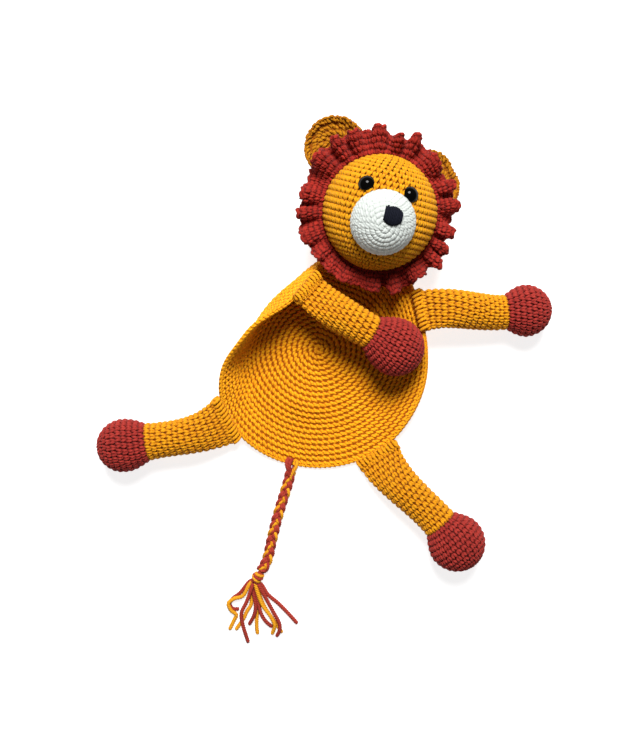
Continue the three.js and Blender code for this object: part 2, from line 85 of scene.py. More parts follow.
BUMP_HEIGHT, BUMP_REACH, BUMP_ANGLE = 3.0, 47, math.radians(274)  # a low swell in the blanket
SEAM_GAP = 3.2
SEAM_HALF_THICKNESS = 3.0
FLATTENED_LENGTH = 38.0
LIMBS = {
    "left_arm": dict(edge=38, fold=-28, seam_radius=15.7, fullness=0, wrist_radius=13.1,
                     paw_radius=19.8, wrist=(129.2, 71.7, 20.6), tip=(161.6, 85.1, 21)),
    "right_arm": dict(edge=121, fold=79, seam_radius=14.9, fullness=0, wrist_radius=12.8,
                      paw_radius=21.8, wrist=(33.9, 23.6, 39), tip=(76, 14.6, 30.5)),
    "left_leg": dict(edge=317, fold=12, seam_radius=18.4, fullness=-1.9, wrist_radius=13.6,
                     paw_radius=22, wrist=(131.9, -100.2, 20.6), tip=(166.4, -120.9, 24)),
    "right_leg": dict(edge=236, fold=-12, seam_radius=20, fullness=-3, wrist_radius=14.3,
                      paw_radius=20.3, wrist=(-104.1, -110, 19.6), tip=(-138.8, -127.2, 21.4)),
}

BRAID_ROUTE = [(9, -99.4, 3.3), (9.6, -107, 3.3), (9.8, -115.4, 3.3), (9.9, -127, 3.3),
               (10.2, -138.6, 3.3), (11, -150, 3.3), (11.8, -159.4, 3.3), (12.7, -167.5, 3.4),
               (12.6, -175.3, 4), (11, -182, 5)]
ANCHOR = [(0, [(9.2, -104, 4), (7.2, -99.5, 5.2), (4.8, -96, 6.4), (3.6, -92.6, 6.4), (4.4, -89.5, 4.4)]),
          (0, [(9.4, -104, 5), (8.6, -99.5, 5.8), (6.9, -96, 6.8), (6.3, -92.4, 6.6), (7, -89.3, 4.4)]),
          (1, [(10, -104, 5), (10.6, -99.5, 5.6), (11.6, -96, 6.2), (11.8, -92.6, 6), (11.2, -89.5, 4.4)]),
          (0, [(9.6, -104, 3), (10, -100, 2), (10.4, -96, 1), (9, -92, 1.2)])]
BRAID_CYCLE = 18.0  # of a strand, from one side to the other and back
KNOT_CENTRE = np.array((9.6, -187.6, 5.2))
KNOT_AXIS = unit((-0.35, -0.93, -0.1))
KNOT_WRAPS = [(-2.9, 2.6, 1), (-1.2, 3.2, 0), (0.7, 3.2, 1), (2.4, 2.7, 0)]  # place, radius, colour
TASSEL_RADIUS = 1.5
TASSEL = [
    ("yellow", (5.6, -195, 3.6), (3.4, -205.2, 3.7), (-2.8, -210, 3.7), (-5.7, -214.8, 3.7),
     (-2.3, -219.3, 3.4), (3, -221.8, 2.4), (2.6, -227, 1.3), (1.5, -235.2, 1.2)),
    ("red", (4.6, -194, 1.2), (0.6, -204.4, 1.2), (-3.5, -210.3, 1.2), (-4.7, -215.4, 1.2),
     (-1, -218.4, 1.2), (3.7, -217, 1.2)),
    ("red", (8, -195.6, 6), (7.7, -208, 5.4), (6.5, -218.3, 4.9), (10.2, -227, 3.6), (19, -240.3, 1.2)),
    ("yellow", (6.7, -195.2, 1.2), (9.8, -204, 1.2), (11.7, -210.4, 1.2), (10.2, -217.4, 1.2),
     (9.4, -223.7, 1.2), (6.3, -233.7, 1.2)),
    ("yellow", (9.3, -196, 1.2), (14, -203.6, 1.2), (17.4, -210.4, 1.2), (19, -217.9, 1.2),
     (21.4, -226, 1.2), (24, -231.5, 1.2)),
    ("red", (8.2, -196.2, 3.6), (12, -203, 3.7), (15.4, -209.8, 3.7), (16.6, -217.2, 3.6),
     (15.2, -226.5, 1.2)),
    ("yellow", (11.8, -195.4, 1.2), (17.6, -203.6, 1.2), (24.6, -211, 1.2), (36, -219.5, 1.2),
     (42.2, -224.5, 1.2)),
    ("red", (10.7, -196.2, 3.6), (14.6, -202.6, 3.7), (18.4, -209.6, 3.8), (21.6, -214.6, 3.8),
     (27, -219.3, 3), (33.3, -222.5, 1.2)),
    ("yellow", (11.2, -195, 5.9), (19.6, -206.4, 5.4), (29.5, -214, 4.6), (34.6, -220.2, 4),
     (35, -228, 1.2)),
    ("red", (13.4, -193.6, 5.6), (20.4, -200.4, 5.2), (29.8, -209.4, 4.8), (37.4, -216.8, 4.4),
     (39.6, -222.6, 3.8), (39, -228.6, 1.2)),
    ("red", (14.6, -192.4, 3.2), (22, -198.6, 2.2), (32.1, -203.1, 1.2), (42.7, -208.6, 1.2),
     (51.5, -213.7, 1.2)),
]

# ---- Camera ----

camera_data = bpy.data.cameras.new("camera")
camera_data.lens = 43.2
camera_data.sensor_width = 36
camera = bpy.data.objects.new("camera", camera_data)
camera.location = (0.0048, -0.0114, 0.7)
camera.rotation_euler = (0, 0, math.radians(18))
bpy.context.collection.objects.link(camera)
bpy.context.scene.camera = camera

# ---- Materials ----


def node_material(name, roughness, sheen=0.0, specular=0.3):
    """A new material, its shader, its links and a function that adds a node with its inputs."""
    material = bpy.data.materials.new(name)
    material.use_nodes = True
    nodes, links = material.node_tree.nodes, material.node_tree.links
    shader = nodes["Principled BSDF"]
    shader.inputs["Roughness"].default_value = roughness
    shader.inputs["Specular IOR Level"].default_value = specular
    shader.inputs["Sheen Weight"].default_value = sheen
    shader.inputs["Sheen Roughness"].default_value = 0.4

    def add(kind, **inputs):
        """Inputs are given by name, or as i0, i1 and so on by number."""
        node = nodes.new(kind)
        for key, value in inputs.items():
            socket = node.inputs[int(key[1:]) if key.startswith("i") else key]
            if isinstance(value, bpy.types.NodeSocket):
                links.new(value, socket)
            else:
                socket.default_value = value
        return node

    return material, shader, add, links


def blend_colours(add, factor, low, high):
    """A colour between low and high, each a colour or a node's output."""
    mix = add("ShaderNodeMix", i0=factor)
    mix.data_type = "RGBA"
    for socket, colour in ((mix.inputs[6], low), (mix.inputs[7], high)):
        if isinstance(colour, bpy.types.NodeSocket):
            mix.id_data.links.new(colour, socket)
        else:
            socket.default_value = (*colour, 1)
    return mix.outputs[2]


def yarn_material(name, light, dark, shaded_colour, sheen=0.04):
    """Spun yarn: its tone varies from stitch to stitch and along the fibres, painted shade darkens it
    towards its shaded colour where a loop dives into the fabric, and its plies twist round it."""
    material, shader, add, links = node_material(name, 0.85, sheen, 0.12)
    tone = add("ShaderNodeAttribute")
    tone.attribute_name = "tone"
    rise = add("ShaderNodeAttribute")
    rise.attribute_name = "rise"
    place = add("ShaderNodeTexCoord").outputs["Object"]
    mottle = add("ShaderNodeTexNoise", Vector=place, Scale=420.0, Detail=3.0)
    mixed = add("ShaderNodeMath", i0=tone.outputs["Fac"], i1=mottle.outputs["Fac"])
    mixed.operation = "ADD"
    half = add("ShaderNodeMath", i0=mixed.outputs[0], i1=0.5)
    half.operation = "MULTIPLY"
    colour = blend_colours(add, half.outputs[0], dark, light)
    links.new(blend_colours(add, rise.outputs["Fac"], shaded_colour, colour), shader.inputs["Base Color"])
    twist = add("ShaderNodeUVMap")
    twist.uv_map = "yarn"
    plies = add("ShaderNodeTexWave", Vector=twist.outputs[0], Scale=1.0, Distortion=1.2, Detail=2.0)
    plies.wave_type = "BANDS"
    plies.bands_direction = "DIAGONAL"
    bump = add("ShaderNodeBump", Height=plies.outputs["Fac"], Strength=0.7, Distance=0.0003)
    links.new(bump.outputs[0], shader.inputs["Normal"])
    return material


def plain_material(name, colour, variation, scale, roughness, specular=0.5, bump=0.0):
    """A surface whose colour is gently mottled."""
    material, shader, add, links = node_material(name, roughness, specular=specular)
    place = add("ShaderNodeTexCoord").outputs["Object"]
    noise = add("ShaderNodeTexNoise", Vector=place, Scale=scale, Detail=4.0)
    darker = [c * (1 - variation) for c in colour]
    links.new(blend_colours(add, noise.outputs["Fac"], darker, colour), shader.inputs["Base Color"])
    if bump:
        relief = add("ShaderNodeBump", Height=noise.outputs["Fac"], Strength=0.4, Distance=bump)
        links.new(relief.outputs[0], shader.inputs["Normal"])
    return material


# One mustard yarn, in the tones that it has on the flat blanket and the tail, and in copies made darker
# as painted shade: a little on the sleeves and the head, most on the ears; and red yarns for the rest.
YELLOW = yarn_material("yellow_yarn", (0.93, 0.425, 0.009), (0.80, 0.31, 0.006), (0.44, 0.12, 0.002))
SHADED_SLEEVE_YELLOW = yarn_material(
    "shaded_sleeve_yellow_yarn", (0.72, 0.32, 0.007), (0.62, 0.23, 0.004), (0.35, 0.095, 0.002))
SHADED_HEAD_YELLOW = yarn_material(
    "shaded_head_yellow_yarn", (0.69, 0.325, 0.006), (0.57, 0.225, 0.004), (0.38, 0.115, 0.002))
SHADED_EAR_YELLOW = yarn_material(
    "shaded_ear_yellow_yarn", (0.46, 0.195, 0.005), (0.38, 0.135, 0.003), (0.24, 0.066, 0.002))
RED = yarn_material("red_yarn", (0.38, 0.036, 0.026), (0.27, 0.022, 0.017), (0.11, 0.007, 0.006))
MANE = yarn_material("mane_yarn", (0.40, 0.028, 0.017), (0.20, 0.012, 0.008), (0.07, 0.004, 0.003))
TAIL_RED = yarn_material(
    "tail_red_yarn", (0.42, 0.050, 0.030), (0.24, 0.022, 0.016), (0.10, 0.007, 0.005))
TAIL_YELLOW = yarn_material(
    "tail_yellow_yarn", (0.80, 0.37, 0.016), (0.58, 0.21, 0.008), (0.30, 0.08, 0.002))
WHITE = yarn_material("white_yarn", (0.53, 0.56, 0.53), (0.49, 0.52, 0.49), (0.40, 0.43, 0.40))
NAVY = yarn_material(
    "navy_yarn", (0.006, 0.007, 0.014), (0.003, 0.004, 0.008), (0.002, 0.002, 0.004), sheen=0.0)
# The cloth under the stitches. The yellow, red and mane cloths are much darker than their yarn: painted
# shade seen through the holes between the stitches. The white and navy cloths have the yarn's own colour.
CLOTH = {
    "yellow": plain_material("yellow_shade_cloth", (0.32, 0.075, 0.001), 0.3, 500, 0.95, 0.1, 0.0004),
    "red": plain_material("red_shade_cloth", (0.17, 0.013, 0.011), 0.4, 500, 0.95, 0.1, 0.0004),
    "mane": plain_material("mane_shade_cloth", (0.13, 0.009, 0.007), 0.4, 500, 0.95, 0.1, 0.0004),
    "white": plain_material("white_cloth", (0.66, 0.70, 0.65), 0.1, 500, 0.95, 0.1, 0.0004),
    "navy": plain_material("navy_cloth", (0.003, 0.004, 0.008), 0.3, 500, 0.9, 0.1, 0.0004),
}
EYE = plain_material("eye_plastic", (0.0015, 0.0013, 0.0012), 0.2, 60, 0.06, 0.1)
WASHER = plain_material("washer_plastic", (0.8, 0.8, 0.77), 0.08, 90, 0.4)
STUFFING = plain_material("stuffing_fibre", (0.86, 0.85, 0.82), 0.15, 260, 1.0, 0.1, 0.001)

# ---- Meshes ----


def make_object(name, points, faces, material, body=None, attributes=(), uv=None, index=None):
    """A mesh object from points in millimetres and arrays of faces that may have different sizes."""
    mesh = bpy.data.meshes.new(name)
    faces = [np.asarray(f, np.int64) for f in faces if len(f)]
    sizes = np.concatenate([np.full(len(f), f.shape[1]) for f in faces])
    corners = np.concatenate([f.ravel() for f in faces])
    mesh.vertices.add(len(points))
    mesh.vertices.foreach_set("co", (np.asarray(points) * MM).astype(np.float32).ravel())
    mesh.loops.add(len(corners))
    mesh.loops.foreach_set("vertex_index", corners.astype(np.int32))
    mesh.polygons.add(len(sizes))
    starts = np.concatenate([[0], np.cumsum(sizes)[:-1]])
    mesh.polygons.foreach_set("loop_start", starts.astype(np.int32))
    mesh.polygons.foreach_set("loop_total", sizes.astype(np.int32))
    mesh.polygons.foreach_set("use_smooth", np.ones(len(sizes), bool))
    materials = material if isinstance(material, (list, tuple)) else [material]
    for entry in materials:
        mesh.materials.append(entry)
    if index is not None:
        mesh.polygons.foreach_set("material_index", np.asarray(index, np.int32))
    mesh.update(calc_edges=True)
    mesh.validate()
    for key, values in attributes:
        layer = mesh.attributes.new(key, "FLOAT", "POINT")
        layer.data.foreach_set("value", np.asarray(values, np.float32))
    if uv is not None:
        layer = mesh.uv_layers.new(name="yarn")
        layer.data.foreach_set("uv", np.asarray(uv, np.float32)[corners].ravel())
    piece = bpy.data.objects.new(name, mesh)
    bpy.context.collection.objects.link(piece)
    if body:
        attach(piece, body)
    return piece


class Yarn:
    """Yarn tubes gathered into one mesh."""

    def __init__(self):
        self.points, self.faces, self.tone, self.rise, self.uv, self.index = [], [], [], [], [], []
        self.count = 0

    def add(self, centre, normal, radius, sides=6, flatness=0.9, rise=None, tone=None, index=0,
            plies=0, twist=0.0):
        """Tubes along centre (tubes, steps, 3), with their flat side facing normal. sides is even."""
        tubes, steps = centre.shape[:2]
        along = unit(np.gradient(centre, axis=1))
        across = unit(np.cross(along, normal))
        out = np.cross(across, along)
        angle = np.arange(sides) * TURN / sides
        radius = np.broadcast_to(radius, (tubes, steps))[..., None]
        walked = np.linalg.norm(np.diff(centre, axis=1), axis=2)
        walked = np.concatenate([np.zeros((tubes, 1)), np.cumsum(walked, axis=1)], axis=1)
        swell = 1.0
        if plies:
            swell = 1 + 0.16 * np.cos(plies * (angle[None, None] - walked[..., None] * twist))
        wide = (radius * np.cos(angle) * swell)[..., None]
        high = (radius * np.sin(angle) * swell * flatness)[..., None]
        ring = centre[:, :, None] + across[:, :, None] * wide + out[:, :, None] * high
        first = self.count + np.arange(tubes)[:, None, None] * steps * sides
        row = np.arange(steps - 1)[None, :, None] * sides
        side = np.arange(sides)[None, None, :]
        after = (side + 1) % sides
        quads = np.stack([first + row + side, first + row + after, first + row + sides + after,
                          first + row + sides + side], axis=-1).reshape(-1, 4)
        start = self.count + np.arange(tubes)[:, None] * steps * sides
        end = start + (steps - 1) * sides
        caps = []
        for m in range(1, sides - 1, 2):
            caps.append(np.concatenate([end, end + m, end + m + 1, end + m + 2], axis=1))
            caps.append(np.concatenate([start + m + 2, start + m + 1, start + m, start], axis=1))
        self.points.append(ring.reshape(-1, 3))
        self.faces.append(np.concatenate([quads, *caps]))
        self.index.append(np.full(len(self.faces[-1]), index))
        tone = rng.random(tubes) if tone is None else np.broadcast_to(tone, tubes)
        self.tone.append(np.repeat(tone, steps * sides))
        # rise is painted shade: where it is low the material darkens the yarn towards its shaded colour.
        rise = np.ones(steps) if rise is None else rise
        self.rise.append(np.broadcast_to(np.asarray(rise)[..., None], (tubes, steps, sides)).ravel())
        offset = rng.random(tubes)[:, None] * 7
        u = np.broadcast_to((walked * 0.30 + offset)[..., None], (tubes, steps, sides))
        v = np.broadcast_to(np.abs(angle / math.pi - 1), (tubes, steps, sides))
        self.uv.append(np.stack([u, v], axis=-1).reshape(-1, 2))
        self.count += tubes * steps * sides

    def make(self, name, material, body=None):
        """The mesh object with all the tubes."""
        attributes = [("tone", np.concatenate(self.tone)), ("rise", np.concatenate(self.rise))]
        index = np.concatenate(self.index)
        return make_object(name, np.concatenate(self.points), [np.concatenate(self.faces)], material,
                           body, attributes, np.concatenate(self.uv), index)


# ---- Surfaces: each is a function of (v, phi) arrays, v across the rounds and phi along them ----


def facing(surface, v, phi, outside):
    """The surface's direction outwards."""
    dv = surface(v + 0.05, phi) - surface(v - 0.05, phi)
    dphi = surface(v, phi + 0.002) - surface(v, phi - 0.002)
    return unit(np.cross(dphi, dv)) * outside


def raised(surface, v, phi, height, outside=1):
    """Points at a height over the surface, and the directions outwards there."""
    normal = facing(surface, v, phi, outside)
    return surface(v, phi) + normal * np.asarray(height)[..., None], normal


def skin(surface, profile, around, outside=1, closed=False):
    """Points and faces of a skin through (v, height) rings. It ends in a cap at its first and last
    ring, unless it is closed, where the last ring joins the first."""
    phi = np.arange(around) * TURN / around
    rings = []
    for v, height in profile:
        place, _ = raised(surface, np.full(around, float(v)), phi, np.full(around, float(height)), outside)
        rings.append(place)
    points = np.concatenate(rings)
    i = np.arange(around)
    j = (i + 1) % around
    last = len(profile) if closed else len(profile) - 1
    quads = []
    for k in range(last):
        a, b = k * around, ((k + 1) % len(profile)) * around
        quads.append(np.stack([a + i, a + j, b + j, b + i], axis=1))
    faces = [np.concatenate(quads)]
    if not closed:
        top = (len(profile) - 1) * around
        faces.append(np.arange(around)[::-1][None])
        faces.append((top + np.arange(around))[None])
    if outside < 0:
        faces = [f[:, ::-1] for f in faces]
    return points, faces


def along_row(surface, v, arc=TURN, samples=1441):
    """Angles and the length walked to each, along the row at v."""
    table = np.linspace(0, arc, samples)
    ring = surface(np.full(samples, float(v)), table)
    walked = np.concatenate([[0], np.cumsum(np.linalg.norm(np.diff(ring, axis=0), axis=1))])
    return table, walked


def lay(yarn, surface, v, across, height, table, walked, outside, radius, rise, tone, sides=6):
    """Lays tubes on the surface from where they run: across is the distance along the row."""
    phi = np.interp(across % walked[-1], walked, table)
    height = np.broadcast_to(height, v.shape)
    place, normal = raised(surface, v.ravel(), phi.ravel(), height.ravel(), outside)
    place, normal = place.reshape(*v.shape, 3), normal.reshape(*v.shape, 3)
    yarn.add(place, normal, radius, sides, rise=rise, tone=tone)


def crochet(yarn, surface, edges, width, outside=1, lift=-2.0, rise=1.6, radius=1.2, lean=0.12,
            steps=6, jitter=0.06):
    """Rounds of single crochet: each stitch is a V whose two legs meet in the hole below them."""
    t = np.linspace(0, 1, steps)
    arch = np.sin(math.pi * t ** 1.25) ** 0.7
    arch = np.where(t > 0.5, np.maximum(arch, 0.25), arch)
    plump = 0.66 + 0.42 * np.sin(math.pi * t ** 1.5)
    for k, (v0, v1) in enumerate(zip(edges[:-1], edges[1:])):
        table, walked = along_row(surface, (v0 + v1) / 2)
        count = max(int(round(walked[-1] / width)), 4)
        pitch = walked[-1] / count
        small = min(pitch / width, 1.0)
        centre = np.repeat((np.arange(count) + (k * 0.47) % 1) * pitch, 2)
        side = np.tile([-1.0, 1.0], count)
        spread = (0.07 + 0.25 * t) * pitch
        across = centre[:, None] + side[:, None] * spread[None] + (t[None] - 0.5) * lean * pitch
        across = across + rng.normal(0, jitter, (len(centre), 1))
        v = v0 + (v1 - v0) * (1.16 * t - 0.12)
        v = v[None] + rng.normal(0, jitter * 0.6, (len(centre), 1))
        height = lift + rise * arch[None] + rng.normal(0, jitter, (len(centre), 1))
        thick = (radius * small * plump)[None]
        tone = np.repeat(rng.random(count), 2)
        # The arch is also painted shade: the legs darken where they dive into the hole.
        lay(yarn, surface, v, across, height, table, walked, outside, thick, arch, tone)


def ridges(yarn, surface, edges, width, outside, lift, rise, radius, slant=0.7, stagger=0.16,
           steps=6, jitter=0.06):
    """Rounds seen as ropes: slanted bumps, two to a stitch, with a groove between the rounds."""
    t = np.linspace(0, 1, steps)
    arch = np.sin(math.pi * t) ** 0.7
    for v0, v1 in zip(edges[:-1], edges[1:]):
        table, walked = along_row(surface, (v0 + v1) / 2)
        count = 2 * max(int(round(walked[-1] / width)), 3)
        pitch = walked[-1] / count
        small = np.clip(2 * pitch / width, 0.6, 1.0)
        centre = (np.arange(count) + rng.random()) * pitch
        low = (np.arange(count) % 2)[:, None]
        across = centre[:, None] + (t[None] - 0.5) * 2 * slant * pitch + rng.normal(0, jitter, (count, 1))
        v = v0 + (v1 - v0) * (0.1 + stagger * low + (0.8 - stagger) * t[None])
        v = v + rng.normal(0, jitter, (count, 1))
        height = lift + (rise - 0.3 * low) * arch[None] + rng.normal(0, jitter, (count, 1))
        thick = radius * small * (1 - 0.12 * low) * (0.7 + 0.3 * arch[None])
        tone = np.repeat(rng.random(count // 2), 2)
        # The arch is also painted shade: each bump darkens at its ends, down in the groove.
        lay(yarn, surface, v, across, height, table, walked, outside, thick, arch, tone)


def loops(yarn, start, middle, end, normal, radius):
    """Yarn arches from start over middle to end, each an array of points."""
    t = np.linspace(0, 1, 6)[None, :, None]
    a, b, c = (np.asarray(p)[:, None] for p in (start, middle, end))
    route = a * (1 - t) * (1 - 2 * t) + b * 4 * t * (1 - t) + c * t * (2 * t - 1)
    yarn.add(route, np.broadcast_to(np.asarray(normal)[:, None], route.shape), radius)


def rounds(low, high, pitch):
    """Edges of rounds of about that pitch."""
    return np.linspace(low, high, max(int(round((high - low) / pitch)), 1) + 1)


# ---- Blanket ----


def dish_at(angle):
    """How far the wall turns up, the flat radius and the arc length to the edge, at angles."""
    degrees = np.degrees(angle) % 360
    turn = np.array([360, 0, 0, 0])
    rows = np.vstack([DISH[-1] - turn, DISH, DISH[0] + turn, DISH[1] + turn])
    i = np.clip(np.searchsorted(rows[:, 0], degrees, side="right") - 1, 1, len(DISH))
    a, b, c, d = rows[i - 1], rows[i], rows[i + 1], rows[i + 2]
    span = c[:, :1] - b[:, :1]
    t = (degrees[:, None] - b[:, :1]) / span
    slope_in = (c - a) / (c[:, :1] - a[:, :1]) * span
    slope_out = (d - b) / (d[:, :1] - b[:, :1]) * span
    value = b + (c - b) * t * t * (3 - 2 * t) + t * (1 - t) * ((1 - t) * slope_in - t * slope_out)
    return np.radians(value[:, 1]), value[:, 2], value[:, 3]


def dish_point(s, angle, height):
    """The point s millimetres out along the laid blanket, at a height over its underside."""
    turn, flat, reach = dish_at(angle)
    along = s * reach / BLANKET_RADIUS
    bent = np.clip((along - flat) / BEND_RADIUS, 0, turn)
    straight = np.maximum(along - flat - BEND_RADIUS * turn, 0)
    inward = height * np.sin(bent)
    radius = np.minimum(along, flat) + BEND_RADIUS * np.sin(bent) + straight * np.cos(turn) - inward
    rise = BEND_RADIUS * (1 - np.cos(bent)) + straight * np.sin(turn)
    swell = BUMP_HEIGHT * np.exp(-((radius - BUMP_REACH) / 10) ** 2)
    towards = np.cos(angle - BUMP_ANGLE)
    swell = swell * np.exp(-((towards - 1) / 0.06) ** 2) * (towards > 0)
    z = rise + height * np.cos(bent) + swell
    return np.stack([radius * np.cos(angle), radius * np.sin(angle), z], axis=-1)


def blanket_surface(v, phi):
    return dish_point(v, phi, np.full(np.shape(v), BLANKET_THICKNESS / 2))


def rim_surface(v, phi):
    """Round the blanket's edge from its upper face (v = 0) to its underside (v = pi)."""
    half = BLANKET_THICKNESS / 2
    return dish_point(BLANKET_RADIUS - half + half * np.sin(v), phi, half + half * np.cos(v))


def make_blanket():
    radii = np.concatenate([[0.4], np.arange(3, 93, 3), [93.2]])
    profile = [(r, -0.8) for r in radii] + [(94.1, 0)] + [(r, 0.5) for r in radii[::-1]]
    points, faces = skin(blanket_surface, profile, 150)
    faces = [f[:, ::-1] for f in faces]
    cloth = make_object("blanket_shade_cloth", points, faces, CLOTH["yellow"], "blanket")
    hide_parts("blanket", *(f"{limb}_stitching" for limb in LIMBS))

    edges = np.linspace(0.6, BLANKET_RADIUS - 1.4, 23)
    upper = Yarn()
    ridges(upper, blanket_surface, edges, 4.7, -1, lift=-0.1, rise=1.3, radius=1.3)
    face = upper.make("blanket_stitches", YELLOW, "blanket")

    under = Yarn()
    ridges(under, blanket_surface, edges, 4.7, 1, lift=-0.1, rise=0.85, radius=1.1, steps=5)
    back = under.make("blanket_back_stitches", YELLOW, "blanket")

    border = Yarn()
    chain(border, rim_surface, 0.1, math.pi - 0.1, 3.9, 0.25)
    edge = border.make("blanket_edge_chain", YELLOW, "blanket")


def chain(yarn, surface, v0, v1, width, lift, radius=1.0):
    """A chain of V stitches running along the rows, between v0 and v1."""
    table, walked = along_row(surface, (v0 + v1) / 2)
    count = int(round(walked[-1] / width))
    pitch = walked[-1] / count
    t = np.linspace(0, 1, 6)
    arch = np.sin(math.pi * t)
    middle = (v0 + v1) / 2
    tone = rng.random(count)
    for start in (v0, v1):
        v = start + (middle - start) * 0.82 * t ** 1.3
        across = (np.arange(count)[:, None] + 1.35 * t[None]) * pitch
        v = np.broadcast_to(v[None], across.shape)
        thick = (radius * (0.7 + 0.3 * arch))[None]
        height = lift + 0.5 * arch[None]
        # 0.4 + 0.6 * arch is painted shade, darker where the loops dive in.
        lay(yarn, surface, v, across, height, table, walked, 1, thick, 0.4 + 0.6 * arch, tone)


# ---- Limbs ----

LIMB_ROW = 4.4
LIMB_STITCH = 5.0


class Limb:
    """A limb's centre line and its cross-sections, v millimetres from its seam."""

    def __init__(self, edge, fold, seam_radius, fullness, wrist_radius, paw_radius, wrist, tip):
        self.seam_radius, self.fullness = seam_radius, fullness
        self.wrist_radius, self.paw_radius = wrist_radius, paw_radius
        angle, step, fold = math.radians(edge), math.radians(2), math.radians(fold)

        def rim(offset, s=BLANKET_RADIUS):
            return dish_point(np.array([s]), np.array([angle + offset]), BLANKET_THICKNESS)[0]

        outward = unit(rim(0) - rim(0, BLANKET_RADIUS - 3))
        self.line = unit(rim(step) - rim(-step))
        up = unit(np.cross(outward, self.line))
        outward = np.cross(self.line, up)
        self.hinge = rim(0) + outward * SEAM_GAP / 2
        self.ahead = outward * math.cos(fold) + up * math.sin(fold)
        above = np.cross(self.ahead, self.line)
        start = self.hinge + self.ahead * SEAM_GAP / 2 - above * BLANKET_THICKNESS / 2
        self.start, self.above = start, above
        self.wrist, tip = np.array(wrist, float), np.array(tip, float)
        self.paw_ahead = unit(tip - self.wrist)
        span = np.linalg.norm(self.wrist - start)
        b, c = start + self.ahead * span * 0.35, self.wrist - self.paw_ahead * span * 0.35
        t = np.linspace(0, 1, 400)[:, None]
        self.curve = ((1 - t) ** 3 * start + 3 * t * (1 - t) ** 2 * b
                      + 3 * t * t * (1 - t) * c + t ** 3 * self.wrist)
        walked = np.linalg.norm(np.diff(self.curve, axis=0), axis=1)
        self.walked = np.concatenate([[0], np.cumsum(walked)])
        self.sleeve_length = self.walked[-1]
        self.length = self.sleeve_length + np.linalg.norm(tip - self.wrist)
        self.level = unit(np.cross(self.paw_ahead, (0, 0, 1)))
        if self.level @ self.line < 0:
            self.level = -self.level

    def centre(self, v):
        on = np.stack([np.interp(v, self.walked, self.curve[:, k]) for k in range(3)], axis=-1)
        on = on + np.minimum(v, 0)[:, None] * self.ahead
        return on + np.maximum(v - self.sleeve_length, 0)[:, None] * self.paw_ahead

    def radii(self, v):
        """Half width and half depth."""
        t = np.clip(v / self.sleeve_length, 0, 1)
        full = (self.seam_radius + (self.wrist_radius - self.seam_radius) * t
                + 4 * self.fullness * t * (1 - t))
        widest = self.length - self.paw_radius
        rear = np.clip((v - self.sleeve_length) / (widest - self.sleeve_length), 0, 1)
        swollen = self.wrist_radius + (self.paw_radius - self.wrist_radius) * np.sin(rear * math.pi / 2)
        front = np.clip((v - widest) / self.paw_radius, 0, 1)
        round_end = self.paw_radius * np.sqrt(1 - front ** 2)
        full = np.where(v > widest, round_end, np.where(v > self.sleeve_length, swollen, full))
        flat = np.clip(v / FLATTENED_LENGTH, 0, 1)
        flat = flat * flat * (3 - 2 * flat)
        flattened = SEAM_HALF_THICKNESS + (full - SEAM_HALF_THICKNESS) * flat
        thin = np.where(v < FLATTENED_LENGTH, flattened, full)
        return full, thin

    def surface(self, v, phi):
        v = np.minimum(v, self.length - 0.02)
        centre = self.centre(v)
        ahead = unit(self.centre(np.maximum(v, 0) + 0.3) - self.centre(np.maximum(v, 0) - 0.3))
        t = np.clip(v / self.sleeve_length, 0, 1)
        t = (t * t * (3 - 2 * t))[:, None]
        width = square_to(self.line * (1 - t) + self.level * t, ahead)
        depth = np.cross(ahead, width)
        broad, thin = self.radii(v)
        return centre + width * (broad * np.cos(phi))[:, None] + depth * (thin * np.sin(phi))[:, None]


def make_limb(name, shape):
    """The sleeve and its seam run from the blanket to the limb. The paw rides the limb."""
    limb = Limb(**shape)

    def blended(piece, slot):
        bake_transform(piece)
        return piece

    base = -1.7  # of the cloth under the stitches
    wall = [-4.5, -2, 1, 4, 8, 12, 17, 22, 28, 34, 42, 52, limb.sleeve_length]
    profile = [(v, base) for v in wall] + [(v, base - 1) for v in wall[::-1]]
    points, faces = skin(limb.surface, profile, 48, closed=True)
    sleeve = blended(make_object(f"{name}_sleeve_shade_cloth", points, faces, CLOTH["yellow"]), "yellow_yarn")
    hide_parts(f"{name}_sleeve")
    yarn = Yarn()
    crochet(yarn, limb.surface, rounds(-4.6, limb.sleeve_length, LIMB_ROW), LIMB_STITCH)
    blended(yarn.make(f"{name}_sleeve_stitches", SHADED_SLEEVE_YELLOW), "yellow_yarn")

    reach = limb.length
    near = np.linspace(limb.sleeve_length, reach - limb.paw_radius, 6)
    far = reach - limb.paw_radius + limb.paw_radius * np.sin(np.linspace(0.15, 1.5, 9))
    profile = [(v, base) for v in [*near, *far]]
    profile = [(near[0], base - 1)] + profile
    points, faces = skin(limb.surface, profile, 48)
    paw = make_object(f"{name}_paw_shade_cloth", points, faces, CLOTH["red"], name)
    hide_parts(f"{name}_paw")
    yarn = Yarn()
    crochet(yarn, limb.surface, paw_rounds(limb), LIMB_STITCH)
    yarn.make(f"{name}_paw_stitches", RED, name)
    make_seam(name, limb, blended)
    repaint(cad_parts[f"{name}_stuffing"], STUFFING)


def paw_rounds(limb):
    """Edges of the paw's rounds, evenly spaced over its curved surface."""
    v = np.linspace(limb.sleeve_length, limb.length - 0.05, 300)
    radius = limb.radii(v)[0]
    walked = np.concatenate([[0], np.cumsum(np.hypot(np.diff(v), np.diff(radius)))])
    marks = rounds(0, walked[-1] - 0.8, LIMB_ROW)
    return np.interp(marks, walked, v)


